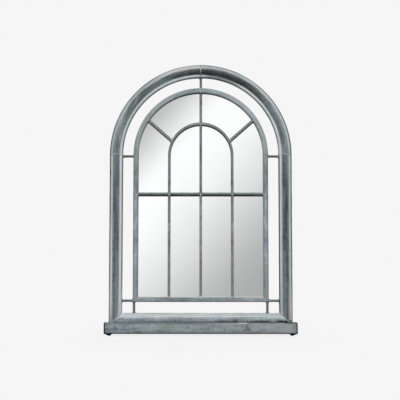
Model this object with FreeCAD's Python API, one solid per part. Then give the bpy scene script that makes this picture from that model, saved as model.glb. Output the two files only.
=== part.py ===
import FreeCAD, Part
import math
import os

# Arched window mirror with a sill, all lengths in mm.
# X runs to the right, the front looks along -Y, the wall is on the +Y side, and +Z is up.
# The origin lies on the wall plane, at the centre of the arch, midway between the two keyholes.
# A depth is counted from the wall plane towards the front, so a point's y is minus its depth.

# Outer frame: a pressed steel moulding, open at the back.
# Its outer leg reaches the wall; its inner leg stops level with the back of the short bars.
frame_half_width = 375.0
frame_drop = 703.0
moulding_width = 55.0
moulding_sheet = 1.2
fillet_level = 28.0
outer_round = 6.0
outer_fillet = 7.0
bead_width = 29.0
bead_rise = 10.0
inner_round = 5.0

# Inner frame: a rectangular tube, held clear of the outer frame by short bars
side_gap = 43.0
base_gap = 45.0
strip_width = 20.0
strip_depth = 15.0
strip_corner = 2.5
tube_wall = 1.2

# Glazing bars, the taller crossbar, and the short bars that join the two frames; all are equally deep.
# The two outer lights are wider than the two middle ones by the light difference.
bar_width = 11.0
crossbar_width = 16.0
spacer_width = 10.0
bar_depth = 12.0
bar_corner = 2.0
light_difference = 3.0
hoop_drop = 3.0
crossbar_drop = 163.5
spring_spacer_drop = 6.0
ray_outer_angle = 33.3
ray_inner_angle = 27.0

# Mirror pack behind the inner frame
glass_overlap = 10.0
glass_thickness = 3.0
felt_thickness = 1.5
panel_thickness = 3.0
rim_gap = 1.0
rim_thickness = 2.0
rim_shy = 0.2

# Turn clips that hold the back panel, on threaded posts
post_radius = 3.0
post_shy = 0.5
clip_thickness = 1.5
clip_width = 10.0
clip_reach = 19.0
clip_arch_angle = 45.0
clip_side_drop = 300.0
clip_base_offset = 150.0
screw_radius = 1.5
screw_head_radius = 2.8
screw_head_height = 1.8
screw_head_round = 0.8
screw_slot_width = 0.8
screw_slot_depth = 0.8
screw_length = 6.5
pin_clearance = 0.05

# Keyhole plates welded into the back of the outer frame
plate_thickness = 2.0
plate_height = 70.0
plate_clearance = 0.3
plate_lap = 6.0
keyhole_radius = 6.0
keyhole_slot_radius = 2.75
keyhole_slot_length = 16.0

# Sill: a folded box with a ledge at the back that the outer frame stands on
sill_depth = 80.0
sill_height = 43.0
sill_lap = 20.0
sill_overhang = 7.5
sill_sheet = 1.5
sill_bend = 3.0
sill_step_clearance = 0.3
cap_thickness = 5.0
cap_spigot = 10.0
cap_wall = 2.0
cap_clearance = 0.3
foot_height = 8.0
foot_length = 26.0
foot_chamfer = 19.0
foot_inset = 8.0
stem_radius = 3.0
stem_inset = 22.5
stem_length = 6.0

# Every cutting tool runs past the piece by this much
overrun = 20.0

# Places that follow from the sizes above
frame_inner_radius = frame_half_width - moulding_width
inner_half_width = frame_inner_radius - side_gap
inner_drop = frame_drop - moulding_width - base_gap
pane_radius = inner_half_width - strip_width
rail_top = strip_width - inner_drop
strip_back = fillet_level - strip_depth
bar_front = strip_back + bar_depth
hoop_radius = (pane_radius + bar_width / 2 - light_difference) / 2
hoop_outer_radius = hoop_radius + bar_width / 2
glass_radius = pane_radius + glass_overlap
glass_bottom = rail_top - glass_overlap
glass_back = strip_back - glass_thickness
felt_back = glass_back - felt_thickness
panel_back = felt_back - panel_thickness
rim_inner_radius = glass_radius + rim_gap
rim_outer_radius = rim_inner_radius + rim_thickness
post_ring = inner_half_width - post_radius - post_shy
clip_back = panel_back - clip_thickness
sill_top = sill_lap - frame_drop
sill_bottom = sill_top - sill_height
sill_step = fillet_level + bead_rise + sill_step_clearance
sill_half_width = frame_half_width + sill_overhang
cap_half_width = sill_half_width + cap_thickness


def at(x, depth, z):
    return FreeCAD.Vector(x, -depth, z)


def polar(radius, angle):
    """The x and z of a point at an angle above the horizontal."""
    return radius * math.cos(math.radians(angle)), radius * math.sin(math.radians(angle))


def face_of(edges):
    return Part.Face(Part.Wire(Part.__sortEdges__(edges)))


def arc(first, middle, last):
    return Part.Arc(first, middle, last).toShape()


def block(x_low, x_high, depth_low, depth_high, z_low, z_high):
    size = FreeCAD.Vector(x_high - x_low, depth_high - depth_low, z_high - z_low)
    return Part.makeBox(size.x, size.y, size.z, at(x_low, depth_high, z_low))


def rod(radius, depth_low, depth_high, x, z):
    """A round bar square to the wall, between two depths."""
    return Part.makeCylinder(radius, depth_high - depth_low, at(x, depth_low, z), at(0, 1, 0))


def disc(radius, centre_z):
    """A cutting cylinder square to the wall, deeper than the whole object."""
    return rod(radius, -overrun, sill_depth + overrun, 0, centre_z)


def arch_field(radius):
    """Everything between the two sides of an arch, above and below the spring line."""
    return disc(radius, 0).fuse(block(-radius, radius, -overrun, sill_depth + overrun, -frame_drop, 0))


def moulding_path(place, inset):
    """One side of the pressed sheet, from the outer back edge to the inner back edge."""
    half = bead_width / 2
    bead_radius = (half ** 2 + bead_rise ** 2) / (2 * bead_rise)
    bead_middle = outer_round + outer_fillet + half
    bead_centre = fillet_level + bead_rise - bead_radius
    level = fillet_level - inset
    bead_arc = bead_radius - inset
    chord = math.sqrt(bead_arc ** 2 - (level - bead_centre) ** 2)
    outer_arc = outer_round - inset
    inner_arc = inner_round - inset
    slant = math.sqrt(0.5)
    outer_centre = (outer_round, fillet_level - outer_round)
    inner_centre = (moulding_width - inner_round, fillet_level - inner_round)
    outer_foot = place(inset, 0)
    outer_low = place(inset, outer_centre[1])
    outer_middle = place(outer_centre[0] - slant * outer_arc, outer_centre[1] + slant * outer_arc)
    outer_high = place(outer_round, level)
    bead_start = place(bead_middle - chord, level)
    bead_top = place(bead_middle, bead_centre + bead_arc)
    bead_end = place(bead_middle + chord, level)
    inner_high = place(inner_centre[0], level)
    inner_middle = place(inner_centre[0] + slant * inner_arc, inner_centre[1] + slant * inner_arc)
    inner_low = place(moulding_width - inset, inner_centre[1])
    inner_foot = place(moulding_width - inset, strip_back)
    return [
        Part.makeLine(outer_foot, outer_low),
        arc(outer_low, outer_middle, outer_high),
        Part.makeLine(outer_high, bead_start),
        arc(bead_start, bead_top, bead_end),
        Part.makeLine(bead_end, inner_high),
        arc(inner_high, inner_middle, inner_low),
        Part.makeLine(inner_low, inner_foot),
    ]


def moulding_face(place):
    """Section of the moulding; place(inward, depth) puts its points on the section's plane."""
    edges = moulding_path(place, 0) + moulding_path(place, moulding_sheet)
    edges.append(Part.makeLine(place(0, 0), place(moulding_sheet, 0)))
    inner_edge = moulding_width - moulding_sheet
    edges.append(Part.makeLine(place(inner_edge, strip_back), place(moulding_width, strip_back)))
    return face_of(edges)


def corner_prism(side, half_width, drop, above):
    """A prism on one side of the 45 degree mitre line through a bottom corner."""
    reach = moulding_width + overrun
    outer_x = side * (half_width + overrun)
    inner_x = side * (half_width - reach)
    low_z = -drop - overrun
    high_z = -drop + reach
    third_x = outer_x if above else inner_x
    third_z = high_z if above else low_z
    corners = [
        at(outer_x, -overrun, low_z),
        at(inner_x, -overrun, high_z),
        at(third_x, -overrun, third_z),
        at(outer_x, -overrun, low_z),
    ]
    return Part.Face(Part.makePolygon(corners)).extrude(at(0, sill_depth + 2 * overrun, 0))


def outer_jamb(side):
    """Straight side of the moulding, from the spring line to its mitre."""
    def place(inward, depth):
        return at(side * (frame_half_width - inward), depth, 0)
    jamb = moulding_face(place).extrude(at(0, 0, -frame_drop))
    return jamb.cut(corner_prism(side, frame_half_width, frame_drop, False))


def outer_arch(side):
    """Quarter of the arch in the same moulding, from the spring line to the crown."""
    def place(inward, depth):
        return at(side * (frame_half_width - inward), depth, 0)
    return moulding_face(place).revolve(at(0, 0, 0), at(0, side, 0), 90)


def outer_bottom_rail():
    """Bottom of the moulding, mitred at both ends, standing on the sill's ledge."""
    def place(inward, depth):
        return at(-frame_half_width, depth, inward - frame_drop)
    rail = moulding_face(place).extrude(at(2 * frame_half_width, 0, 0))
    for side in (-1, 1):
        rail = rail.cut(corner_prism(side, frame_half_width, frame_drop, True))
    return rail


def rounded_rectangle(place, low, high, near, far, radius):
    """A rectangle with round corners, across from low to high and in depth from near to far."""
    slant = radius * (1 - math.sqrt(0.5))
    edges = [
        Part.makeLine(place(low + radius, near), place(high - radius, near)),
        arc(place(high - radius, near), place(high - slant, near + slant), place(high, near + radius)),
        Part.makeLine(place(high, near + radius), place(high, far - radius)),
        arc(place(high, far - radius), place(high - slant, far - slant), place(high - radius, far)),
        Part.makeLine(place(high - radius, far), place(low + radius, far)),
        arc(place(low + radius, far), place(low + slant, far - slant), place(low, far - radius)),
        Part.makeLine(place(low, far - radius), place(low, near + radius)),
        arc(place(low, near + radius), place(low + slant, near + slant), place(low + radius, near)),
    ]
    return face_of(edges)


def tube_face(place, width, near, far, radius):
    """Section of a tube with its wall, centred across."""
    half = width / 2
    bore = half - tube_wall
    skin = rounded_rectangle(place, -half, half, near, far, radius)
    core = rounded_rectangle(place, -bore, bore, near + tube_wall, far - tube_wall, radius - tube_wall)
    return skin.cut(core).Faces[0]


def strip_face(place):
    return tube_face(place, strip_width, strip_back, fillet_level, strip_corner)


def bar_face(place):
    return tube_face(place, bar_width, strip_back, bar_front, bar_corner)


def crossbar_face(place):
    return tube_face(place, crossbar_width, strip_back, bar_front, bar_corner)


def spacer_face(place):
    return tube_face(place, spacer_width, strip_back, bar_front, bar_corner)


def straight(section, start, end):
    """A tube of the given section between two points of the frame's plane."""
    run_x = end[0] - start[0]
    run_z = end[1] - start[1]
    length = math.hypot(run_x, run_z)

    def place(across, depth):
        return at(start[0] - across * run_z / length, depth, start[1] + across * run_x / length)
    return section(place).extrude(at(run_x, 0, run_z))


def curved(section, side, radius, centre_z, sweep):
    """A tube of the given section bent round a centre, starting on one side of it."""
    def place(across, depth):
        return at(side * (radius + across), depth, centre_z)
    return section(place).revolve(at(0, 0, centre_z), at(0, side, 0), sweep)


def inner_jamb(side):
    """Side of the inner frame, from the spring line to its mitre."""
    x = side * (inner_half_width - strip_width / 2)
    jamb = straight(strip_face, (x, 0), (x, -inner_drop))
    return jamb.cut(corner_prism(side, inner_half_width, inner_drop, False))


def inner_arch():
    """Head of the inner frame, one tube bent to a half circle."""
    return curved(strip_face, -1, inner_half_width - strip_width / 2, 0, 180)


def inner_bottom_rail():
    z = strip_width / 2 - inner_drop
    rail = straight(strip_face, (-inner_half_width, z), (inner_half_width, z))
    for side in (-1, 1):
        rail = rail.cut(corner_prism(side, inner_half_width, inner_drop, True))
    return rail


def centre_bar():
    """Upright on the centre line, coped to the inside of the inner arch."""
    return straight(bar_face, (0, rail_top), (0, inner_half_width)).common(arch_field(pane_radius))


def hoop(side):
    """Side bar that runs up from the rail and bends over to the centre bar."""
    leg = straight(bar_face, (side * hoop_radius, rail_top), (side * hoop_radius, -hoop_drop))
    bend = curved(bar_face, side, hoop_radius, -hoop_drop, 90)
    half = bar_width / 2
    joint = block(-half, half, -overrun, sill_depth, 0, hoop_outer_radius + overrun)
    return leg.fuse(bend).removeSplitter().cut(joint)


def crossbar(start_x, end_x):
    return straight(crossbar_face, (start_x, -crossbar_drop), (end_x, -crossbar_drop))


def ray(side):
    """Slanting bar between the hoop and the inner arch, coped to both."""
    inner_x, inner_rise = polar(hoop_outer_radius, ray_inner_angle)
    outer_x, outer_z = polar(pane_radius, ray_outer_angle)
    inner_z = inner_rise - hoop_drop
    length = math.hypot(outer_x - inner_x, outer_z - inner_z)
    step_x = overrun * (outer_x - inner_x) / length
    step_z = overrun * (outer_z - inner_z) / length
    start = (side * (inner_x - step_x), inner_z - step_z)
    end = (side * (outer_x + step_x), outer_z + step_z)
    bar = straight(bar_face, start, end).common(disc(pane_radius, 0))
    return bar.cut(disc(hoop_outer_radius, -hoop_drop))


def spacer_top():
    """Short bar between the crowns of the two frames, coped to both arches."""
    bar = straight(spacer_face, (0, pane_radius), (0, frame_half_width))
    return bar.common(disc(frame_inner_radius, 0)).cut(disc(inner_half_width, 0))


def spacer_across(side, z):
    return straight(spacer_face, (side * inner_half_width, z), (side * frame_inner_radius, z))


def spacer_base(side):
    x = side * (inner_half_width - spacer_width / 2)
    return straight(spacer_face, (x, -inner_drop), (x, moulding_width - frame_drop))


def arch_plate(radius, bottom, near, far):
    """A plate with straight sides and a half round head, centred on the arch."""
    edges = [
        Part.makeLine(at(-radius, near, bottom), at(radius, near, bottom)),
        Part.makeLine(at(radius, near, bottom), at(radius, near, 0)),
        arc(at(radius, near, 0), at(0, near, radius), at(-radius, near, 0)),
        Part.makeLine(at(-radius, near, 0), at(-radius, near, bottom)),
    ]
    return face_of(edges).extrude(at(0, far - near, 0))


def rim_arch():
    """Strip on edge that keeps the glass and the panel in place, bent in one length."""
    near = panel_back + rim_shy
    bottom = glass_bottom - rim_thickness
    outside = arch_plate(rim_outer_radius, bottom, near, strip_back)
    return outside.cut(arch_plate(rim_inner_radius, bottom - overrun, near - overrun, strip_back + overrun))


def rim_base():
    near = panel_back + rim_shy
    bottom = glass_bottom - rim_thickness
    return block(-rim_inner_radius, rim_inner_radius, near, strip_back, bottom, glass_bottom)


def clip_places():
    """Name, place and direction towards the panel of each turn clip."""
    arch_x, arch_z = polar(post_ring, clip_arch_angle)
    in_x, in_z = polar(1, clip_arch_angle)
    base_z = inner_half_width - post_ring - inner_drop
    places = []
    for word, side in (("left", -1), ("right", 1)):
        places.append(("arch_" + word, side * arch_x, arch_z, -side * in_x, -in_z))
        places.append(("side_" + word, side * post_ring, -clip_side_drop, -side, 0))
        places.append(("base_" + word, side * clip_base_offset, base_z, 0, 1))
    return places


def clip_post(x, z):
    """Threaded post on the back of the inner frame."""
    post = rod(post_radius, panel_back, strip_back, x, z)
    bore_end = clip_back + screw_length + pin_clearance
    return post.cut(rod(screw_radius + pin_clearance, panel_back - overrun, bore_end, x, z))


def turn_clip(x, z, in_x, in_z):
    """Flat strip with round ends that turns on its screw, over the back panel."""
    half = clip_width / 2

    def place(along, across):
        return at(x + along * in_x - across * in_z, clip_back, z + along * in_z + across * in_x)
    edges = [
        Part.makeLine(place(0, half), place(clip_reach, half)),
        arc(place(clip_reach, half), place(clip_reach + half, 0), place(clip_reach, -half)),
        Part.makeLine(place(clip_reach, -half), place(0, -half)),
        arc(place(0, -half), place(-half, 0), place(0, half)),
    ]
    strip = face_of(edges).extrude(at(0, clip_thickness, 0))
    return strip.cut(rod(screw_radius + pin_clearance, clip_back - overrun, panel_back + overrun, x, z))


def clip_screw(x, z):
    """Slotted pan-head screw through a clip into its post."""
    head_back = clip_back - screw_head_height
    head = rod(screw_head_radius, head_back, clip_back, x, z)
    rim = [edge for edge in head.Edges if edge.BoundBox.YMin > -(head_back + clip_back) / 2]
    head = head.makeFillet(screw_head_round, [edge for edge in rim if edge.Closed])
    half = screw_slot_width / 2
    slot_floor = head_back + screw_slot_depth
    reach = screw_head_radius + overrun
    head = head.cut(block(x - reach, x + reach, head_back - overrun, slot_floor, z - half, z + half))
    return head.fuse(rod(screw_radius, clip_back, clip_back + screw_length, x, z)).removeSplitter()


def keyhole_plate(side):
    """Plate across the back of the moulding, with a keyhole and a flange up the inner leg."""
    x = side * (frame_half_width - moulding_width / 2)
    half = moulding_width / 2 - moulding_sheet - plate_clearance
    plate = block(x - half, x + half, 0, plate_thickness, -plate_height / 2, plate_height / 2)
    plate = plate.common(arch_field(frame_half_width - moulding_sheet - plate_clearance))
    grip = plate_thickness / 2
    flange_x = x - side * (half - grip)
    flange_top = strip_back + plate_lap
    flange = block(flange_x - grip, flange_x + grip, 0, flange_top, -plate_height / 2, plate_height / 2)
    plate = plate.fuse(flange).removeSplitter()
    far = plate_thickness + overrun
    plate = plate.cut(rod(keyhole_radius, -overrun, far, x, 0))
    plate = plate.cut(rod(keyhole_slot_radius, -overrun, far, x, keyhole_slot_length))
    slot = block(x - keyhole_slot_radius, x + keyhole_slot_radius, -overrun, far, 0, keyhole_slot_length)
    return plate.cut(slot)


def unit(vector):
    return FreeCAD.Vector(vector).normalize()


def bent_outline(corners, radius):
    """A closed outline of square corners, each rounded to the bend radius."""
    count = len(corners)
    edges = []
    for index in range(count):
        corner = corners[index]
        back = unit(corners[index - 1] - corner)
        ahead = unit(corners[(index + 1) % count] - corner)
        start = corner + back * radius
        end = corner + ahead * radius
        middle = corner + (back + ahead) * (radius * (1 - math.sqrt(0.5)))
        edges.append(arc(start, middle, end))
        after = corners[(index + 1) % count]
        edges.append(Part.makeLine(end, after - ahead * radius))
    return Part.Wire(Part.__sortEdges__(edges))


def sill_outline(x):
    """Outside of the sill's section: front, top, step down, ledge and back."""
    ledge = -frame_drop
    corners = [
        at(x, 0, sill_bottom),
        at(x, sill_depth, sill_bottom),
        at(x, sill_depth, sill_top),
        at(x, sill_step, sill_top),
        at(x, sill_step, ledge),
        at(x, 0, ledge),
    ]
    return bent_outline(corners, sill_bend)


def sill_ring(x, outer_inset, wall, length):
    """A hollow run of the sill's section, drawn in by an inset, with a wall."""
    outline = sill_outline(x)
    outside = outline if outer_inset == 0 else outline.makeOffset2D(-outer_inset)
    inside = outline.makeOffset2D(-outer_inset - wall)
    return Part.Face(outside).cut(Part.Face(inside)).Faces[0].extrude(at(length, 0, 0))


def foot_stem_x(side):
    return side * (cap_half_width - stem_inset)


def upright_pin(radius, x, z_low, z_high):
    return Part.makeCylinder(radius, z_high - z_low, at(x, sill_depth / 2, z_low), at(0, 0, 1))


def sill():
    """Folded and seam-welded sheet, with a hole for each foot's stem."""
    body = sill_ring(-sill_half_width, 0, sill_sheet, 2 * sill_half_width)
    for side in (-1, 1):
        hole_low = sill_bottom - overrun
        hole_high = sill_bottom + sill_sheet + pin_clearance
        body = body.cut(upright_pin(stem_radius + pin_clearance, foot_stem_x(side), hole_low, hole_high))
    return body


def sill_end_cap(side):
    """Moulded cap with a hollow spigot that pushes into the end of the sill."""
    plate = Part.Face(sill_outline(side * sill_half_width)).extrude(at(side * cap_thickness, 0, 0))
    inset = sill_sheet + cap_clearance
    spigot = sill_ring(side * sill_half_width, inset, cap_wall, -side * cap_spigot)
    return plate.fuse(spigot).removeSplitter()


def sill_foot(side):
    """Soft foot under the end of the sill, bevelled outwards, with a push-in stem."""
    outer = side * cap_half_width
    base = sill_bottom - foot_height
    near = foot_inset
    corners = [
        at(outer, near, sill_bottom),
        at(outer - side * foot_chamfer, near, base),
        at(outer - side * foot_length, near, base),
        at(outer - side * foot_length, near, sill_bottom),
        at(outer, near, sill_bottom),
    ]
    wedge = Part.Face(Part.makePolygon(corners)).extrude(at(0, sill_depth - 2 * foot_inset, 0))
    return wedge.fuse(upright_pin(stem_radius, foot_stem_x(side), base, sill_bottom + stem_length)).removeSplitter()


def build_pieces():
    half = bar_width / 2
    hoop_side = hoop_radius + half
    low_spacer = spacer_width / 2 - inner_drop
    pieces = {
        "outer_bottom_rail": outer_bottom_rail(),
        "inner_arch": inner_arch(),
        "inner_bottom_rail": inner_bottom_rail(),
        "spacer_top": spacer_top(),
        "centre_bar": centre_bar(),
        "rim_arch": rim_arch(),
        "rim_base": rim_base(),
        "mirror_glass": arch_plate(glass_radius, glass_bottom, glass_back, strip_back),
        "backing_felt": arch_plate(glass_radius, glass_bottom, felt_back, glass_back),
        "back_panel": arch_plate(glass_radius, glass_bottom, panel_back, felt_back),
        "sill": sill(),
    }
    for word, side in (("left", -1), ("right", 1)):
        pieces["outer_jamb_" + word] = outer_jamb(side)
        pieces["outer_arch_" + word] = outer_arch(side)
        pieces["inner_jamb_" + word] = inner_jamb(side)
        pieces["hoop_" + word] = hoop(side)
        pieces["ray_" + word] = ray(side)
        pieces["crossbar_outer_" + word] = crossbar(side * hoop_side, side * pane_radius)
        pieces["crossbar_inner_" + word] = crossbar(side * half, side * (hoop_radius - half))
        pieces["spacer_spring_" + word] = spacer_across(side, -spring_spacer_drop)
        pieces["spacer_corner_" + word] = spacer_across(side, low_spacer)
        pieces["spacer_base_" + word] = spacer_base(side)
        pieces["keyhole_plate_" + word] = keyhole_plate(side)
        pieces["sill_end_cap_" + word] = sill_end_cap(side)
        pieces["sill_foot_" + word] = sill_foot(side)
    for name, x, z, in_x, in_z in clip_places():
        pieces["turn_clip_" + name] = turn_clip(x, z, in_x, in_z)
    pieces["clip_posts"] = Part.makeCompound([clip_post(x, z) for name, x, z, in_x, in_z in clip_places()])
    pieces["clip_screws"] = Part.makeCompound([clip_screw(x, z) for name, x, z, in_x, in_z in clip_places()])
    return pieces


def main():
    os.makedirs("parts", exist_ok=True)
    pieces = build_pieces()
    for name, shape in sorted(pieces.items()):
        solids = shape.Solids
        print(name, "solids", len(solids), "valid", shape.isValid(), "volume", round(shape.Volume, 1))
        whole = solids[0] if len(solids) == 1 else Part.makeCompound(solids)
        whole.exportStep("parts/" + name + ".step")
    for name, x, z, in_x, in_z in clip_places():
        print("clip pivot", name, round(x, 3), round(-clip_back, 3), round(z, 3))


main()
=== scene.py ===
# %% [markdown]
# An arched garden mirror, dressed for its picture.
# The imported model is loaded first. It gives every piece its real size and place, in metres,
# with +X to the right, -Y to the front and +Z up. Its origin is the centre of the arch, on the wall.
# Everything below is fitted to it, and nothing of it is moved.

# %% Load the frame
import math
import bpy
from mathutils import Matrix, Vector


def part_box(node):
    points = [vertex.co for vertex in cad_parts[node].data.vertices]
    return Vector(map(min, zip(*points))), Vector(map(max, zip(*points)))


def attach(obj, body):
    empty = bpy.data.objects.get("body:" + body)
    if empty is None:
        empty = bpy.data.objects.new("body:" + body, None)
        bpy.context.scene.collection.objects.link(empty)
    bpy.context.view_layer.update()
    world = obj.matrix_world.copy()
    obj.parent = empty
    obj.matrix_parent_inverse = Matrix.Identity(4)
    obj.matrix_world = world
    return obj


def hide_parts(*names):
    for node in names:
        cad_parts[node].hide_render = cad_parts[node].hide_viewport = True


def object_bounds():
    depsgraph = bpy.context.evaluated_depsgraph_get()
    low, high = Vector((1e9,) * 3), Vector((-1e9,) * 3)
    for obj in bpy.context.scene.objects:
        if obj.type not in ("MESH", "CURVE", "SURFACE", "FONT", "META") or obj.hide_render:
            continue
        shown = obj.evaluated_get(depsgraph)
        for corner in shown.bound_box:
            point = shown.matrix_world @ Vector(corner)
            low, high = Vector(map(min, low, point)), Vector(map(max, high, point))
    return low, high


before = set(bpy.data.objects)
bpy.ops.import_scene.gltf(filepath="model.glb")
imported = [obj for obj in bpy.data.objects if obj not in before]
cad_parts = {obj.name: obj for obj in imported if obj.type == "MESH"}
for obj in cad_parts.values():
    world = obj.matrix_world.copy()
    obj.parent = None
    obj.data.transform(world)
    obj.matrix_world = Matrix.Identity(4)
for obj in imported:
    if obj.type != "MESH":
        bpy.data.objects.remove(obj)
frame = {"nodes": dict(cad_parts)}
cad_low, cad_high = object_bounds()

from types import SimpleNamespace

import bmesh
import bpy
from mathutils import Matrix, Vector

print("model box", [round(v, 4) for v in (*cad_low, *cad_high)])

# %% [markdown]
# Most sizes are read off the loaded pieces, so that the new ones follow them.
# Only what a box can't tell, such as the rounding of the moulding, is a size of its own.

# %% Sizes of the outer frame
jamb_low, jamb_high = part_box("outer_jamb_right")
rail_low, rail_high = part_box("outer_bottom_rail")
frame_half = jamb_high.x
frame_drop = -rail_low.z
moulding_width = rail_high.z - rail_low.z
frame_inner = frame_half - moulding_width
bead_front = -jamb_low.y
bead_rise = 0.010
fillet_level = bead_front - bead_rise
outer_round = 0.006
outer_fillet = 0.007
bead_width = 0.029
inner_round = 0.005
sheet = 0.0012

# %% Sizes of the inner frame and the bars
strip_low, strip_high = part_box("inner_bottom_rail")
inner_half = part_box("inner_jamb_right")[1].x
inner_drop = -strip_low.z
strip_width = strip_high.z - strip_low.z
strip_front = -strip_low.y
strip_back = -strip_high.y
strip_corner = 0.0025
pane_radius = inner_half - strip_width
rail_top = strip_width - inner_drop

bar_low, bar_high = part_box("centre_bar")
bar_width = bar_high.x * 2
half_bar = bar_width / 2
bar_front = -bar_low.y
bar_corner = 0.002
bar_round = 0.0044
spring_low, spring_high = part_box("spacer_spring_right")
spacer_width = spring_high.z - spring_low.z
spring_z = (spring_low.z + spring_high.z) / 2
crossbar_low, crossbar_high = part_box("crossbar_inner_right")
crossbar_width = crossbar_high.z - crossbar_low.z
crossbar_z = (crossbar_low.z + crossbar_high.z) / 2
hoop_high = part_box("hoop_right")[1]
hoop_outer = hoop_high.x
hoop_radius = hoop_outer - half_bar
hoop_drop = hoop_outer - hoop_high.z
print("frame", round(frame_half, 4), "pane", round(pane_radius, 4), "hoop", round(hoop_radius, 4))

# %% [markdown]
# Every new piece is drawn the way a smith would set it out: a section first, then a length of it.
# A pen starts as a tiny plane merged to one point. Extruding that point draws a straight stroke,
# and spinning it round a centre draws a bend. These helpers keep the strokes short to write.

# %% Helpers for drawing
SIDES = ((-1, "left"), (1, "right"))
RIGHT = Vector((1, 0, 0))
FRONT = Vector((0, -1, 0))
UP = Vector((0, 0, 1))
PEN = 0.01
MERGE = 0.00002
NEAR = 0.0001
made = {}


def to_object_mode():
    if bpy.context.mode != "OBJECT":
        bpy.ops.object.mode_set(mode="OBJECT")


def pick(piece):
    """Leave edit mode, with this piece alone selected."""
    to_object_mode()
    bpy.ops.object.select_all(action="DESELECT")
    piece.select_set(True)
    bpy.context.view_layer.objects.active = piece


def edit_all(piece):
    pick(piece)
    bpy.ops.object.mode_set(mode="EDIT")
    select_all()


def select_all():
    bpy.ops.mesh.select_all(action="SELECT")


def move(step):
    bpy.ops.transform.translate(value=step)


def rename(piece, name):
    piece.name = name
    piece.data.name = name
    return piece


def start_plane(name, size):
    to_object_mode()
    bpy.ops.mesh.primitive_plane_add(size=size)
    piece = rename(bpy.context.object, name)
    edit_all(piece)
    bpy.ops.mesh.select_mode(type="VERT")
    return piece


def start_pen(name, place):
    piece = start_plane(name, PEN)
    bpy.ops.mesh.merge(type="CENTER")
    move(place)
    return piece


def stroke(step):
    bpy.ops.mesh.extrude_vertices_move(TRANSFORM_OT_translate={"value": step})


def swing(steps, angle, axis, centre):
    """Spin the selection by the right-hand rule; the tool itself counts angles the other way."""
    bpy.ops.mesh.spin(steps=steps, angle=-angle, axis=axis, center=centre)


def extrude_edges(step, count):
    for _ in range(count):
        bpy.ops.mesh.extrude_edges_move(TRANSFORM_OT_translate={"value": step / count})


def extrude_face(step, count=1):
    for _ in range(count):
        bpy.ops.mesh.extrude_region_move(TRANSFORM_OT_translate={"value": step / count})


def merge_doubles():
    """Merge doubled points and leave everything selected."""
    select_all()
    bpy.ops.mesh.remove_doubles(threshold=MERGE)
    select_all()


def select_points(piece, test):
    bpy.ops.mesh.select_mode(type="VERT")
    bpy.ops.mesh.select_all(action="DESELECT")
    work = bmesh.from_edit_mesh(piece.data)
    for point in work.verts:
        if test(point.co):
            point.select_set(True)
    work.select_flush_mode()
    bmesh.update_edit_mesh(piece.data)


# %% [markdown]
# A drawn piece still has to stand for one of the model's pieces. Its doubled points are merged, its faces
# are turned outwards and shaded smooth up to a sharp enough angle, and it is told what it rides on.
# It also stores its grain: how far along the piece each point lies, how far in from its edge, and how
# deep. The finish reads that, so that its streaks follow curves as well.

# %% Helpers for finishing a piece
SMOOTH_ANGLE = math.radians(35)


def add_modifier(piece, kind, **settings):
    pick(piece)
    modifier = piece.modifiers.new(kind.title(), kind)
    for name, value in settings.items():
        setattr(modifier, name, value)
    bpy.ops.object.modifier_apply(modifier=modifier.name)


def face_outwards(piece, open_skin=False):
    """Merge doubles and turn all faces outwards; an open skin's foremost face has to look forward."""
    merge_doubles()
    bpy.ops.mesh.normals_make_consistent(inside=False)
    work = bmesh.from_edit_mesh(piece.data)
    foremost = min(work.faces, key=lambda face: face.calc_center_median().y)
    if open_skin and foremost.normal.y > 0:
        bpy.ops.mesh.flip_normals()


def lay_grain(piece, rule):
    """Store each point's way along the piece, its distance in from the edge, and its depth."""
    grain = piece.data.attributes.new("grain", "FLOAT_VECTOR", "POINT")
    for point, value in zip(piece.data.vertices, grain.data):
        value.vector = (*rule(point.co), -point.co.y)


def finish_piece(piece, node=None, grain=None):
    """Shade a piece smooth, set its body, node and grain, and keep it under its name."""
    pick(piece)
    bpy.ops.object.shade_smooth_by_angle(angle=SMOOTH_ANGLE)
    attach(piece, "frame")
    if node:
        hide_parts(node)
    if grain:
        lay_grain(piece, grain)
    made[piece.name] = piece
    print(piece.name, "faces", len(piece.data.polygons))


def finish_pair(piece, node, grain):
    """Finish a right-hand piece and a copy mirrored to the left, which has its own mesh."""
    pick(piece)
    bpy.ops.object.duplicate(linked=False)
    other = rename(bpy.context.object, piece.name.replace("right", "left"))
    edit_all(other)
    bpy.ops.transform.resize(value=(-1, 1, 1), center_override=(0, 0, 0))
    bpy.ops.mesh.normals_make_consistent(inside=False)
    for half, word in ((piece, "right"), (other, "left")):
        finish_piece(half, node + "_" + word, grain)


def arch_grain(half):
    def rule(point):
        radius = math.hypot(point.x, point.z)
        return radius * math.atan2(point.z, point.x), half - radius
    return rule


def jamb_grain(half):
    return lambda point: (point.z, half - abs(point.x))


def rail_grain(drop):
    return lambda point: (point.x, point.z + drop)


# %% [markdown]
# The outer frame is sheet steel pressed into a moulding: a rounded outer edge, a narrow fillet,
# a wide bead, an inner fillet and a rounded inner edge, open at the back against the wall.
# Its section is drawn once, stroke by stroke, and then spun for the arch or extruded for the straights.
# A sweep along a curve would do as well, but spinning keeps every joint exactly on its line.

# %% Section of the moulding
BEND_STEPS = 6
BEAD_STEPS = 16
WALL_SHY = 0.0002
QUARTER_TURN = math.pi / 2


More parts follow.
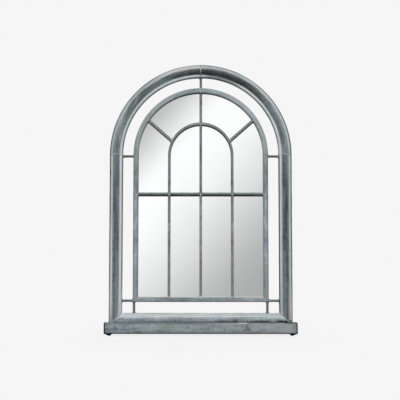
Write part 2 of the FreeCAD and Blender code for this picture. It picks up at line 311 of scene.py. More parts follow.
def draw_moulding(name, corner, inward, lift=0.0, skin_only=False):
    """The section's outer line, from the back of the outer edge to the back of the inner edge."""
    axis = FRONT.cross(inward)
    half = bead_width / 2
    bead_radius = (half ** 2 + bead_rise ** 2) / (2 * bead_rise)
    bead_centre = fillet_level + bead_rise - bead_radius
    bead_arc = bead_radius + lift
    level = fillet_level + lift
    chord = math.sqrt(bead_arc ** 2 - (level - bead_centre) ** 2)
    bead_middle = outer_round + outer_fillet + half

    def at(across, depth):
        return corner + inward * across + FRONT * depth

    if skin_only:
        piece = start_pen(name, at(outer_round, level))
    else:
        piece = start_pen(name, at(-lift, WALL_SHY))
        stroke(FRONT * (fillet_level - outer_round - WALL_SHY))
        swing(BEND_STEPS, QUARTER_TURN, axis, at(outer_round, fillet_level - outer_round))
    stroke(inward * (bead_middle - chord - outer_round))
    swing(BEAD_STEPS, 2 * math.asin(chord / bead_arc), axis, at(bead_middle, bead_centre))
    stroke(inward * (moulding_width - inner_round - bead_middle - chord))
    if not skin_only:
        swing(BEND_STEPS, QUARTER_TURN, axis, at(moulding_width - inner_round, fillet_level - inner_round))
        stroke(-FRONT * (fillet_level - inner_round - strip_back))
    select_all()
    return piece


# %% [markdown]
# Pressed sheet is never quite true. Before it gets its thickness, each length is pushed in by a
# fraction of a millimetre with a soft cloud pattern, so that reflections along it waver a little.
# The pattern only pushes inwards, so the piece stays inside the model's size.
# At the bottom corners the lengths are sawn to 45 degrees, as a smith would do it.

# %% Skin, thickness and mitre
RIPPLE_DEPTH = 0.0007
ripple = bpy.data.textures.new("sheet_ripple", "CLOUDS")
ripple.noise_scale = 0.045
ripple.noise_depth = 1


def thicken(piece, thickness, rippled=False):
    """Give a drawn skin its thickness towards the inside; pressed sheet is rippled first."""
    face_outwards(piece, open_skin=True)
    if rippled:
        add_modifier(piece, "DISPLACE", texture=ripple, texture_coords="GLOBAL",
                     strength=-RIPPLE_DEPTH, mid_level=0)
    add_modifier(piece, "SOLIDIFY", thickness=thickness, offset=-1.0)


def mitre(piece, corner, keep_up):
    """Saw a closed piece along the 45 degree line through a bottom corner and close the cut."""
    edit_all(piece)
    normal = Vector((math.copysign(1, corner.x), 0, 1)) * (1 if keep_up else -1)
    bpy.ops.mesh.bisect(plane_co=corner, plane_no=normal, use_fill=True, clear_inner=True)
    to_object_mode()


def bottom_corners(half, drop):
    return [Vector((side * half, 0, -drop)) for side, _ in SIDES]


# %% [markdown]
# Five lengths make the outer frame, as the joint lines in the picture show: two quarters of the arch,
# two jambs and the bottom rail. The left-hand ones are mirrored copies, each with its own mesh.

# %% Outer frame
ARCH_STEPS = 56
JAMB_STEPS = 40
RAIL_STEPS = 44
frame_corners = bottom_corners(frame_half, frame_drop)

quarter = draw_moulding("moulding_arch_right", RIGHT * frame_half, -RIGHT)
swing(ARCH_STEPS, QUARTER_TURN, FRONT, (0, 0, 0))
thicken(quarter, sheet, rippled=True)

jamb = draw_moulding("moulding_jamb_right", RIGHT * frame_half, -RIGHT)
extrude_edges(-UP * frame_drop, JAMB_STEPS)
thicken(jamb, sheet, rippled=True)
mitre(jamb, frame_corners[1], keep_up=True)

rail = draw_moulding("moulding_rail", frame_corners[0], UP)
extrude_edges(RIGHT * 2 * frame_half, RAIL_STEPS)
thicken(rail, sheet, rippled=True)
for corner in frame_corners:
    mitre(rail, corner, keep_up=False)

finish_pair(quarter, "outer_arch", arch_grain(frame_half))
finish_pair(jamb, "outer_jamb", jamb_grain(frame_half))
finish_piece(rail, "outer_bottom_rail", rail_grain(frame_drop))

# %% [markdown]
# Where two lengths of the moulding meet, the weld is ground back to a low, paler line across the face.
# It is made as a thin strip of the same section, lifted a little off the skin, because a painted line
# would vanish from the side.

# %% Ground welds on the outer frame
WELD_LIFT = 0.0004
WELD_WIDTH = 0.0034


def draw_weld(name, corner, shift, run, steps=2, grain=jamb_grain, cuts=()):
    """The moulding's section at a corner, shifted, extruded along its run, and sawn where cuts are given."""
    piece = draw_moulding(name, corner, -corner.normalized(), WELD_LIFT, skin_only=True)
    move(shift)
    extrude_edges(run, steps)
    thicken(piece, 2 * sheet)
    for place, keep_up in cuts:
        mitre(piece, place, keep_up)
    finish_piece(piece, grain=grain(frame_half))


for side, word in SIDES:
    draw_weld("weld_spring_" + word, RIGHT * side * frame_half, Vector(), UP * WELD_WIDTH)
draw_weld("weld_crown", UP * frame_half, RIGHT * (WELD_WIDTH / -2), RIGHT * WELD_WIDTH, grain=arch_grain)
for (side, word), corner in zip(SIDES, frame_corners):
    below = -UP * (frame_drop + moulding_width)
    cuts = ((corner, True), (corner + UP * WELD_WIDTH * math.sqrt(2), False))
    draw_weld("weld_mitre_" + word, RIGHT * side * frame_half, below, UP * 3 * moulding_width, 1, cuts=cuts)

# %% [markdown]
# The inner frame is rectangular tube with rounded corners. Its section is a plane whose four corners
# are bevelled, which gives true quarter rounds, and whose face is then extruded or spun.
# A bevel on the finished tube would do too, but it would have to be limited to the long edges.

# %% Inner frame
CORNER_STEPS = 5


def rounded_section(name, width, front, corner, front_corner):
    """A rounded rectangle lying flat at the origin; its front corners have a rounding of their own."""
    middle = (strip_back + front) / 2
    piece = start_plane(name, 1.0)
    bpy.ops.transform.resize(value=(width, front - strip_back, 1))
    move(FRONT * middle)
    select_points(piece, lambda place: place.y < -middle)
    bpy.ops.mesh.bevel(offset=front_corner, segments=CORNER_STEPS, affect="VERTICES")
    select_points(piece, lambda place: place.y > -middle)
    bpy.ops.mesh.bevel(offset=corner, segments=CORNER_STEPS, affect="VERTICES")
    bpy.ops.mesh.select_mode(type="FACE")
    select_all()
    return piece


def strip_section(name, shift):
    piece = rounded_section(name, strip_width, strip_front, strip_corner, strip_corner)
    move(RIGHT * shift)
    return piece


def turn_and_place(piece, start, direction):
    """Turn a piece that was drawn along +Z to run in a direction of the frame's plane, from its start."""
    pick(piece)
    piece.rotation_euler = (0, math.atan2(direction.x, direction.z), 0)
    piece.location = start
    bpy.ops.object.transform_apply(location=True, rotation=True, scale=True)


strip_middle = inner_half - strip_width / 2
inner_corners = bottom_corners(inner_half, inner_drop)
head = strip_section("inner_head", strip_middle)
swing(2 * ARCH_STEPS, 2 * QUARTER_TURN, FRONT, (0, 0, 0))
face_outwards(head)
finish_piece(head, "inner_arch", arch_grain(inner_half))

side_strip = strip_section("inner_jamb_strip_right", strip_middle)
extrude_face(-UP * inner_drop, JAMB_STEPS)
face_outwards(side_strip)
mitre(side_strip, inner_corners[1], keep_up=True)
finish_pair(side_strip, "inner_jamb", jamb_grain(inner_half))

low_strip = strip_section("inner_rail_strip", 0)
extrude_face(UP * 2 * inner_half, RAIL_STEPS)
face_outwards(low_strip)
turn_and_place(low_strip, Vector((-inner_half, 0, strip_width / 2 - inner_drop)), RIGHT)
for corner in inner_corners:
    mitre(low_strip, corner, keep_up=False)
finish_piece(low_strip, "inner_bottom_rail", rail_grain(inner_drop))

# %% [markdown]
# The glazing bars and the short bars between the frames are square tube. Each end flares where its weld
# runs out onto the next piece, so a bar is drawn as a chain of sections, wider at its ends, with the end
# itself sunk into what it is welded to. A separate bead of weld would show as a ring.

# %% Drawing a welded bar
WELD_RUN = 0.004
TOE_SHARE = 0.3
TOE_LEFT = 0.45
WELD_TOE = 1.38
WELD_PROUD = 1.10
BAR_STEP = 0.006
BAR_SINK = 0.0012


def bar_grain(start, direction):
    across = Vector((direction.z, 0, -direction.x))
    return lambda point: ((point - start).dot(direction), (point - start).dot(across))


def bar_section(name, width):
    return rounded_section(name, width, bar_front, bar_corner, bar_round)


def draw_bar(name, start, end, node, sink=BAR_SINK, width=bar_width, toe=WELD_TOE):
    """A welded bar between two points of the frame's plane, its ends sunk in by a little."""
    start = Vector((start[0], 0, start[1]))
    end = Vector((end[0], 0, end[1]))
    direction = (end - start).normalized()
    plain = (end - start).length - 2 * WELD_RUN
    steps = max(2, round(plain / BAR_STEP))
    toe_run = WELD_RUN * TOE_SHARE
    neck_run = WELD_RUN - toe_run
    runs = [(0.0, 1.0), (sink, 1.0), (toe_run, TOE_LEFT), (neck_run, 0.0)] + [(plain / steps, 0.0)] * steps
    runs += [(neck_run, TOE_LEFT), (toe_run, 1.0), (sink, 1.0)]
    piece = bar_section(name, width)
    before = 0.0
    height = 0.0
    for index, (run, weld) in enumerate(runs):
        if index:
            extrude_face(UP * run)
            height += run
        wide = (1 + weld * (toe - 1)) / (1 + before * (toe - 1))
        deep = (1 + weld * (WELD_PROUD - 1)) / (1 + before * (WELD_PROUD - 1))
        bpy.ops.transform.resize(value=(wide, deep, 1), center_override=(0, -strip_back, height))
        before = weld
    face_outwards(piece)
    turn_and_place(piece, start - direction * sink, direction)
    finish_piece(piece, node, bar_grain(start, direction))


# %% [markdown]
# The centre bar runs through in one length. The taller crossbar is cut into four lengths between the
# uprights, and narrower short bars hold the inner frame clear of the outer one: one at the crown, and on
# each side one at the spring and two at the bottom corner.

# %% Straight bars
SPACER_TOE = 1.9
SPACER_SINK = 0.001
CROSSBAR_TOE = 1.15
corner_z = spacer_width / 2 - inner_drop
base_x = inner_half - spacer_width / 2
base_z = moulding_width - frame_drop


def draw_spacer(name, start, end, node):
    draw_bar(name, start, end, node, SPACER_SINK, spacer_width, SPACER_TOE)


def draw_crossbar(name, start_x, end_x, node):
    draw_bar(name, (start_x, crossbar_z), (end_x, crossbar_z), node, width=crossbar_width, toe=CROSSBAR_TOE)


draw_bar("bar_centre", (0, rail_top), (0, pane_radius), "centre_bar")
draw_spacer("spacer_crown", (0, inner_half), (0, frame_inner), "spacer_top")
for side, word in SIDES:
    leg_face = side * (hoop_radius - half_bar)
    draw_crossbar("crossbar_middle_" + word, side * half_bar, leg_face, "crossbar_inner_" + word)
    draw_crossbar("crossbar_side_" + word, side * hoop_outer, side * pane_radius, "crossbar_outer_" + word)
    for place, start, end in (
        ("spring", (inner_half, spring_z), (frame_inner, spring_z)),
        ("corner", (inner_half, corner_z), (frame_inner, corner_z)),
        ("base", (base_x, base_z), (base_x, -inner_drop)),
    ):
        ends = [(side * x, z) for x, z in (start, end)]
        draw_spacer("spacer_at_" + place + "_" + word, *ends, "spacer_" + place + "_" + word)

# %% [markdown]
# The side bars rise from the bottom rail and bend over into a small arch. The leg is extruded
# upwards and the last face is spun round the arch's centre, so leg and bend are one tube.
# A tube spreads a little where it is bent, so the outer side of the bend is raised towards the crest,
# and the slanting bars are a little wider than the uprights, as they look in the picture.

# %% Side bars and slanting bars
HOOP_STEPS = 40
LEG_STEPS = 76
CREST_SPREAD = 0.003
SLANTING_WIDTH = 0.0133
SLANTING_SINK = 0.0026
SLANT_IN = math.radians(27)
SLANT_OUT = math.radians(33.3)
hoop_centre = Vector((0, 0, -hoop_drop))
slant_start = hoop_centre + hoop_outer * Vector((math.cos(SLANT_IN), 0, math.sin(SLANT_IN)))
slant_end = pane_radius * Vector((math.cos(SLANT_OUT), 0, math.sin(SLANT_OUT)))


def on_outer_bend(place):
    return place.z > -hoop_drop and (place - hoop_centre).xz.length > hoop_radius + bar_corner / 4


def hoop_grain(side):
    def rule(point):
        rise = point.z + hoop_drop
        if rise < 0:
            return point.z, hoop_radius - side * point.x
        return hoop_radius * math.atan2(rise, side * point.x), hoop_radius - math.hypot(point.x, rise)
    return rule


for side, word in SIDES:
    hoop = bar_section("side_bar_" + word, bar_width)
    move(RIGHT * side * hoop_radius + UP * (rail_top - BAR_SINK))
    extrude_face(UP * (-hoop_drop - rail_top + BAR_SINK), LEG_STEPS)
    sweep = QUARTER_TURN - math.asin((half_bar - BAR_SINK) / hoop_radius)
    swing(HOOP_STEPS, sweep, FRONT * side, hoop_centre)
    select_points(hoop, on_outer_bend)
    bpy.ops.transform.resize(value=(1, 1, 1 + CREST_SPREAD / hoop_outer), center_override=hoop_centre)
    face_outwards(hoop)
    finish_piece(hoop, "hoop_" + word, hoop_grain(side))
    draw_bar("slanting_bar_" + word, (side * slant_start.x, slant_start.z), (side * slant_end.x, slant_end.z),
             "ray_" + word, SLANTING_SINK, SLANTING_WIDTH)

# %% [markdown]
# Every joint of the bars is a small weld, dressed by hand and paler than the patina round it.
# How close each point lies to a joint is stored on the pieces, for the finish to read later.
# A painted map could hold the welds too, but this one follows the bars wherever they lie.

# %% Weld marks
BUTT_IN = 0.004
middle_joints = [
    (crossbar_z, 0.010), (rail_top, 0.008), (hoop_radius - hoop_drop, 0.008), (strip_middle, 0.016),
]
side_joints = [
    (hoop_radius, crossbar_z, 0.010), (pane_radius + BUTT_IN, crossbar_z, 0.010),
    (hoop_radius, rail_top, 0.008), (slant_start.x, slant_start.z, 0.007), (slant_end.x, slant_end.z, 0.006),
    (inner_half, spring_z, 0.006), (frame_inner, spring_z, 0.005), (base_x, -inner_drop, 0.007),
    (inner_half, corner_z, 0.006),
]
joints = [(0, z, reach) for z, reach in middle_joints]
joints += [(side * x, z, reach) for side, _ in SIDES for x, z, reach in side_joints]


def named(pieces, *starts):
    return [pieces[name] for name in sorted(pieces) if name.startswith(starts)]


def lay_welds(piece):
    near = piece.data.attributes.new("weld", "FLOAT", "POINT")
    for point, value in zip(piece.data.vertices, near.data):
        shares = (1 - math.hypot(point.co.x - x, point.co.z - z) / reach for x, z, reach in joints)
        value.value = max(0, *shares)


for piece in named(made, "inner_", "bar_", "side_bar_", "slanting_bar_", "crossbar_", "spacer_"):
    lay_welds(piece)

# %% [markdown]
# The sill is a folded box of sheet with a ledge at the back for the frame to stand on.
# Its outline is drawn with the same pen, each corner bent round a 3 mm radius, filled and extruded.

# %% Sill
SILL_STEPS = 60
sill_low, sill_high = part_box("sill")
sill_half = sill_high.x
sill_top = sill_high.z
sill_bottom = sill_low.z
sill_depth = -sill_low.y
sill_bend = 0.003
ledge_gap = 0.0003


def outline_of_sill(name, start_x, top_lip=0.0):
    """From the back of the sill's underside round its front to its ledge."""
    step = bead_front + ledge_gap
    top = sill_top + top_lip
    ledge = -frame_drop
    corners = [
        (0, sill_bottom), (sill_depth, sill_bottom), (sill_depth, top),
        (step, top), (step, ledge), (0, ledge),
    ]
    points = [Vector((start_x, -depth, z)) for depth, z in corners]
    ways = [(after - before).normalized() for before, after in zip(points, points[1:] + points[:1])]
    pen = points[0] + ways[0] * sill_bend
    piece = start_pen(name, pen)
    for corner, way, onward in zip(points[1:] + points[:1], ways, ways[1:] + ways[:1]):
        stroke(corner - way * sill_bend - pen)
        turn = math.copysign(1, way.cross(onward).x)
        swing(BEND_STEPS, QUARTER_TURN, RIGHT * turn, corner + (onward - way) * sill_bend)
        pen = corner + onward * sill_bend
    merge_doubles()
    bpy.ops.mesh.edge_face_add()
    return piece


sill = outline_of_sill("sill_box", -sill_half)
extrude_face(RIGHT * 2 * sill_half, SILL_STEPS)
face_outwards(sill)
finish_piece(sill, "sill", rail_grain(-sill_bottom))

# %% [markdown]
# A moulded black cap closes each end of the sill, with a lip that stands a little proud on top,
# and a soft foot with a sloped outer end sits under it. A cap is the sill's own outline extruded on,
# and a foot is a block whose lower outer edge is moved in.

# %% End caps and feet
CAP_LIP = 0.0006
CAP_EDGE = 0.0012
FOOT_SLOPE = 0.019
FOOT_EDGE = 0.001
EDGE_STEPS = 3
cap_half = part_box("sill_end_cap_right")[1].x
foot_low, foot_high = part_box("sill_foot_right")
foot_middle = (foot_low + foot_high) / 2

for side, word in SIDES:
    cap = outline_of_sill("end_cap_" + word, side * sill_half, CAP_LIP)
    extrude_face(RIGHT * side * (cap_half - sill_half))
    bpy.ops.mesh.bevel(offset=CAP_EDGE, segments=EDGE_STEPS, affect="EDGES")
    face_outwards(cap)
    finish_piece(cap, "sill_end_cap_" + word)


def on_foot_edge(place):
    return abs(abs(place.x) - foot_high.x) < NEAR and place.z < sill_bottom - NEAR


for side, word in SIDES:
    foot = start_plane("foot_" + word, 1.0)
    bpy.ops.transform.resize(value=(foot_high.x - foot_low.x, foot_high.y - foot_low.y, 1))
    move((side * foot_middle.x, foot_middle.y, sill_bottom))
    extrude_face(UP * (foot_low.z - sill_bottom))
    select_points(foot, on_foot_edge)
    move(RIGHT * -side * FOOT_SLOPE)
    select_all()
    bpy.ops.mesh.bevel(offset=FOOT_EDGE, segments=EDGE_STEPS, affect="EDGES")
    face_outwards(foot)
    finish_piece(foot, "sill_foot_" + word)

# %% [markdown]
# Finishes are worked out by shader nodes. Wiring each node by hand makes long listings, so a Value here
# stands for one output in a node tree, and a sum written with it adds the nodes that work the sum out.
# Ramps, noise and bands of tone are its methods. Places are in metres, so a pattern keeps its real size.

# %% Shader helpers
MILLIMETRES = 1000


def sign(operation):
    """What a sign such as + does between Values: it adds a Math node."""
    return lambda first, second=None: maths(operation, first, second)


class Value:
    """A number, colour or place that a node tree works out at each point."""
    __add__ = sign("ADD")
    __sub__ = sign("SUBTRACT")
    __mul__ = sign("MULTIPLY")
    __truediv__ = sign("DIVIDE")
    __abs__ = sign("ABSOLUTE")
    most = sign("MAXIMUM")

    def __init__(self, tree, socket):
        self.tree = tree
        self.socket = socket

    def __rsub__(self, other):
        return maths("SUBTRACT", other, self)

    def ramp(self, low, high, start, end):
        """A soft step from start to end, while this value goes from low to high."""
        node = add_node(self.tree, "MapRange", interpolation_type="SMOOTHSTEP", Value=self,
                        From_Min=low, From_Max=high, To_Min=start, To_Max=end)
        return Value(self.tree, node.outputs["Result"])

    def rise(self, low, high, end=1.0):
        return self.ramp(low, high, 0.0, end)

    def fade(self, low, high, start=1.0):
        return self.ramp(low, high, start, 0.0)

    def noise(self, scale, detail=3.0, roughness=0.6, squash=None):
        """Clouds between 0 and 1 at this place; a small number in squash draws them out along that axis."""
        place = self
        if squash:
            stretch = add_node(self.tree, "VectorMath", operation="MULTIPLY")
            plug(self, stretch.inputs[0])
            plug(squash, stretch.inputs[1])
            place = Value(self.tree, stretch.outputs[0])
        node = add_node(self.tree, "TexNoise", Vector=place, Scale=scale, Detail=detail, Roughness=roughness)
        return Value(self.tree, node.outputs[0])

    def bands(self, stops):
        """A tone for a distance; each stop is a distance in millimetres with a grey or a colour."""
        width = stops[-1][0]
        ramp = add_node(self.tree, "ValToRGB")
        ramp.color_ramp.interpolation = "EASE"
        elements = ramp.color_ramp.elements
        for distance, _ in stops[1:-1]:
            elements.new(distance / width)
        for element, (_, tone) in zip(elements, stops):
            element.color = (*tone, 1) if isinstance(tone, tuple) else (tone, tone, tone, 1)
        plug(self * (MILLIMETRES / width), ramp.inputs[0])
        return Value(self.tree, ramp.outputs[0])


def plug(item, socket):
    """Link a Value to a socket, or write a number, a colour or a vector on it."""
    if isinstance(item, Value):
        item.tree.links.new(item.socket, socket)
    elif socket.type == "RGBA":
        socket.default_value = (*item, 1)
    else:
        socket.default_value = item


def add_node(tree, kind, **values):
    """A node; its settings and inputs are given by name."""
    node = tree.nodes.new("ShaderNode" + kind)
    for name, value in values.items():
        if hasattr(node, name):
            setattr(node, name, value)
        else:
            plug(value, node.inputs[name.replace("_", " ")])
    return node


def maths(operation, first, second=None):
    tree = first.tree if isinstance(first, Value) else second.tree
    node = add_node(tree, "Math", operation=operation)
    for item, socket in zip((first, second), node.inputs):
        if item is not None:
            plug(item, socket)
    return Value(tree, node.outputs[0])


def blend(share, first, second, mode="MIX"):
    """One colour laid over another by a share."""
    tree = next(item.tree for item in (share, first, second) if isinstance(item, Value))
    node = add_node(tree, "Mix", data_type="RGBA", blend_type=mode)
    for item, index in ((share, 0), (first, 6), (second, 7)):
        plug(item, node.inputs[index])
    return Value(tree, node.outputs[2])


def split(vector):
    node = add_node(vector.tree, "SeparateXYZ", Vector=vector)
    return [Value(vector.tree, socket) for socket in node.outputs]


def source(tree, kind, output, **values):
    """One output of a new node, such as the place on the piece."""
    return Value(tree, add_node(tree, kind, **values).outputs[output])


# %% [markdown]
# Aged zinc is grey and cloudy, with streaks along the piece, dark flecks, small pits and pale rubbed
# spots, and it leans to green in one place and to blue in the next. The pattern is one node group, which
# each zinc material feeds with three greys. An image would be easier, but would not follow the grain of
# arch and straights alike.

# %% Aged zinc group
GREENISH = (0.92, 1.03, 0.96)
BLUEISH = (0.94, 0.99, 1.09)
WARMER = (1.05, 0.98, 0.99)
FLECK = (0.06, 0.066, 0.066)
PIT = (0.05, 0.055, 0.055)


def build_zinc_group():
    group = bpy.data.node_groups.new("aged_zinc", "ShaderNodeTree")
    for direction, kind, names in (
        ("INPUT", "Vector", ("Place",)), ("INPUT", "Color", ("Dark", "Mid", "Pale")),
        ("INPUT", "Float", ("Flecks",)), ("OUTPUT", "Color", ("Color",)),
        ("OUTPUT", "Float", ("Roughness", "Height")),
    ):
        for name in names:
            group.interface.new_socket(name, in_out=direction, socket_type="NodeSocket" + kind)
    given = group.nodes.new("NodeGroupInput").outputs[:5]
    place, dark, mid, pale, fleck_share = (Value(group, socket) for socket in given)
    clouds = place.noise(9.0, 4.0, 0.6, (1.0, 2.2, 2.2))
    streaks = place.noise(70.0, 3.0, 0.6, (0.16, 1.0, 1.0))
    mottle = place.noise(55.0, 5.0, 0.65)
    tone = clouds * 0.45 + streaks * 0.3 + mottle * 0.25
    colour = blend(tone.rise(0.38, 0.5), dark, mid)
    colour = blend(tone.rise(0.5, 0.62), colour, pale)
    hue = place.noise(7.0, 2.0, 0.5, (1.0, 3.0, 1.0))
    green = blend(0.6, colour, GREENISH, "MULTIPLY")
    blue = blend(0.6, colour, BLUEISH, "MULTIPLY")
    colour = blend(hue.rise(0.42, 0.58), green, blue)
    warm = place.noise(19.0, 3.0, 0.6, (0.8, 2.0, 1.0)).rise(0.5, 0.62)
    colour = blend(warm * 0.6, colour, blend(1.0, colour, WARMER, "MULTIPLY"))
    flecks = place.noise(120.0, 4.0, 0.65, (0.45, 1.0, 1.0)).rise(0.56, 0.68)
    colour = blend(flecks * fleck_share, colour, FLECK)
    pits = place.noise(330.0, 2.0, 0.5).rise(0.64, 0.72)
    colour = blend(pits * 0.55, colour, PIT)
    rubbed = place.noise(210.0, 4.0, 0.7, (0.4, 1.0, 1.0)).rise(0.62, 0.74)
    fine = place.noise(900.0, 2.0, 0.5)
    results = (
        blend(rubbed * 0.5, colour, pale),
        tone * -0.3 + 0.6 + pits * 0.2,
        mottle * 0.5 - pits * 0.6 + fine * 0.2,
    )
    for result, socket in zip(results, group.nodes.new("NodeGroupOutput").inputs):
        plug(result, socket)
    return group


zinc_group = build_zinc_group()
print("group", zinc_group.name, "nodes", len(zinc_group.nodes))

# %% [markdown]
# Each zinc finish is its own material, so that the moulding, the bars and the sill can differ.
# On the moulding the fillets are rubbed pale, and its tone also follows how far in from the edge a point
# lies, which paints light and shade across the section, such as the dark hollow before the crest of the bead.
# Marks are laid over that, one by one.

# %% Making a zinc material
ZINC_RELIEF = 0.0006


def start_material(name):
    """A new material, and the place on the piece, which its finish can follow."""
    material = bpy.data.materials.new(name)
    material.use_nodes = True
    return material, source(material.node_tree, "TexCoord", "Object")


def dress(material, colour, rough, metallic=0.0, height=None, strength=0.5, depth=0.0, specular=0.5):
    """Give a material's shader its colour, roughness, metal and gloss, and a fine relief."""
    tree = material.node_tree
    shader = tree.nodes["Principled BSDF"]
    plug(colour, shader.inputs["Base Color"])
    plug(rough, shader.inputs["Roughness"])
    plug(metallic, shader.inputs["Metallic"])
    plug(specular, shader.inputs["Specular IOR Level"])
    if height:
        bump = add_node(tree, "Bump", Height=height, Strength=strength, Distance=depth)
        tree.links.new(bump.outputs[0], shader.inputs["Normal"])
    return material


def paint(material, pieces, *starts):
    """Give a material to the pieces whose names start in one of the ways given."""
    chosen = named(pieces, *starts)
    for piece in chosen:
        piece.data.materials.clear()
        piece.data.materials.append(material)
    print(material.name, "on", len(chosen), "pieces")


def zinc(name, dark, mid, pale, metallic, tones=None, gloss=None, marks=(), flecks=0.35, object_space=False):
    """Aged zinc; tones paint light and shade across the section, gloss runs across it too, and each mark lays
    one more stain, rub, painted shade or painted highlight over it.
    """
    material, place = start_material(name)
    tree = material.node_tree
    grain = place if object_space else source(tree, "Attribute", "Vector", attribute_name="grain")
    aged = tree.nodes.new("ShaderNodeGroup")
    aged.node_tree = zinc_group
    for item, name in ((grain, "Place"), (dark, "Dark"), (mid, "Mid"), (pale, "Pale"), (flecks, "Flecks")):
        plug(item, aged.inputs[name])
    colour, rough, height = (Value(tree, socket) for socket in aged.outputs)
    x, y, z = split(place)
    inward = split(grain)[1]
    _, wallward, up = split(source(tree, "TexCoord", "Normal"))
    at = SimpleNamespace(place=place, grain=grain, x=x, y=y, z=z, inward=inward, wallward=wallward, up=up)
    if tones:
        colour = blend(1.0, colour, inward.bands(tones), "MULTIPLY")
    if gloss:
        rough = rough * inward.bands(gloss)
    for mark in marks:
        share, tint = mark(at)
        colour = blend(share, colour, tint)
    return dress(material, colour, rough, metallic, height, depth=ZINC_RELIEF)


# %% [markdown]
# The marks are what use and the workshop left, and some of them paint light and shade. Each one is given what
# is known at a point, such as its place, its distance in from the edge and how far it faces up, and returns
# how strongly the mark shows there, and its colour. The fillets are rubbed pale by hands and cloths, grime
# and painted shade sit in the seam over the sill, the bead gets a painted sheen towards the foot of each
# jamb, the rail's inner fillet a painted highlight, and towards their feet the jambs are rubbed in other
# places.

# %% Marks on the outer frame
SIDE_BLUR = 0.05
# The stain colour also paints shade on the rims of the bars; the grime colour also paints shade under the
# bars and the sill, in the seam over the sill and on the crossbar.
STAIN_AND_SHADE = (0.03, 0.033, 0.034)
GRIME_AND_SHADE = (0.022, 0.024, 0.023)
RUBBED = (0.89, 0.975, 0.97)
FILLET_RUB = [
    (0, 0), (5, 0), (6.5, 1.0), (12.5, 1.0), (14, 0.15), (16, 0), (38.5, 0), (41.5, 0.5), (43, 1.0),
    (50, 1.0), (52, 0.1), (55, 0),
]
BEAD_PATINA = [(0, 0.1), (13, 0.1), (16, 0.35), (24, 0.5), (36, 0.5), (41, 0.2), (55, 0.1)]
OUTER_SLOPE = [(0, 0), (12.5, 0), (15, 0.8), (17, 1.0), (23, 0.9), (28, 0.4), (32, 0), (55, 0)]
BEAD_ONLY = [(0, 0), (13, 0), (17, 0.75), (21, 0.5), (25, 0.5), (30, 1.0), (38, 1.0), (42, 0), (55, 0)]
OUTER_EDGE = [(0, 0.3), (4, 0.7), (6, 1.0), (13, 1.0), (16, 0), (55, 0)]
INNER_EDGE = [(0, 0), (44, 0.05), (49, 0.12), (52, 0.4), (55, 0.4)]
BOTH_RIMS = [(0, 0.35), (4.5, 0.35), (6, 0), (37, 0), (39.5, 0.6), (42, 0.9), (55, 0.85)]
MITRE_LINE = [(0, 0), (12, 0.4), (20, 0.8), (50, 1.0), (55, 0.5)]
# Where the painted highlight lies across the rail.
RAIL_HIGHLIGHT = [(0, 0), (40, 0), (43, 0.8), (46, 0.8), (48, 0), (55, 0)]


def by_side(at, left, right):
    return at.x.ramp(-SIDE_BLUR, SIDE_BLUR, left, right)


def rubbed_fillets(at):
    """Both fillets are rubbed pale, in patches along the piece."""
    patch = at.grain.noise(60.0, 3.0, 0.6, (0.25, 1.0, 1.0)).ramp(0.3, 0.6, 0.7, 1.0)
    return at.inward.bands(FILLET_RUB) * patch, RUBBED


def bead_patina(at):
    """Dark patches along the bead, each a hand's width long."""
    patch = at.grain.noise(16.0, 6.0, 0.7, (0.6, 2.2, 2.2)).rise(0.45, 0.6)
    return at.inward.bands(BEAD_PATINA) * patch, STAIN_AND_SHADE


def pale_shoulder(at):
    """Round both springs the outer slope of the bead is paler, more on the right."""
    near = at.z.rise(-0.22, 0.0) * at.z.fade(0.13, 0.21)
    share = at.x.ramp(-0.1, 0.1, 0.3, 0.38) + at.z.rise(0.0, 0.06, 0.12)
    return near * share * at.inward.bands(OUTER_SLOPE), (0.62, 0.7, 0.71)


def bead_sheen(at):
    """A painted sheen: the bead grows paler towards the foot of a jamb, and is a little paler on the left."""
    share = at.z.fade(-0.7, -0.4, 0.52) + by_side(at, 0.15, 0.0)
    return share * at.inward.bands(BEAD_ONLY), (0.6, 0.67, 0.7)


def low_outer_rub(at):
    """The foot of the right jamb is rubbed pale along its outer edge."""
    low = at.z.fade(-0.68, -0.5, 0.85) * by_side(at, 0.0, 1.0)
    return low * at.inward.bands(OUTER_EDGE), (0.93, 0.95, 1.0)


def low_left_rub(at):
    """The foot of the left jamb is rubbed along its inner fillet and rim, and a little on its outer edge."""
    low = at.z.fade(-0.62, -0.48) * by_side(at, 1.0, 0.0)
    return low * at.inward.bands(BOTH_RIMS), (0.92, 0.98, 1.0)


def inner_edge_grime(at):
    """The inner edge of the right jamb is a little dirtier than the left one's."""
    return by_side(at, 0.0, 1.0) * at.inward.bands(INNER_EDGE), STAIN_AND_SHADE


def mitre_rub(at):
    """Both mitres were dressed with a file, and are pale for a few millimetres on either side."""
    aside = abs(frame_half - abs(at.x) - (at.z + frame_drop))
    line = aside.fade(0.003, 0.008) * by_side(at, 0.75, 0.5)
    return line * at.inward.bands(MITRE_LINE), (0.86, 0.92, 0.95)


def rail_highlight(at):
    """A painted highlight: the rail's inner fillet is brightest where it meets the bead."""
    return at.inward.bands(RAIL_HIGHLIGHT), (1.0, 1.0, 1.0)


def seam_grime_and_shade(at):
    """Grime and painted shade where the frame stands on the sill, thicker to the right."""
    reach = at.x.ramp(0.1, 0.3, 0.006, 0.012)
    low = ((at.z - sill_top) / reach).fade(0.08, 1.0)
    aside = at.x.ramp(-0.05, 0.2, 0.06, 0.8) + at.x.rise(0.3, 0.34, 0.3)
    patch = at.place.noise(26.0).ramp(0.34, 0.54, 0.2, 1.0)
    return low * aside * patch, GRIME_AND_SHADE


def dull_inside(at):
    """The hollow back of the moulding was never rubbed down."""
    return at.wallward.rise(0.05, 0.4, 0.75), (0.15, 0.163, 0.168)
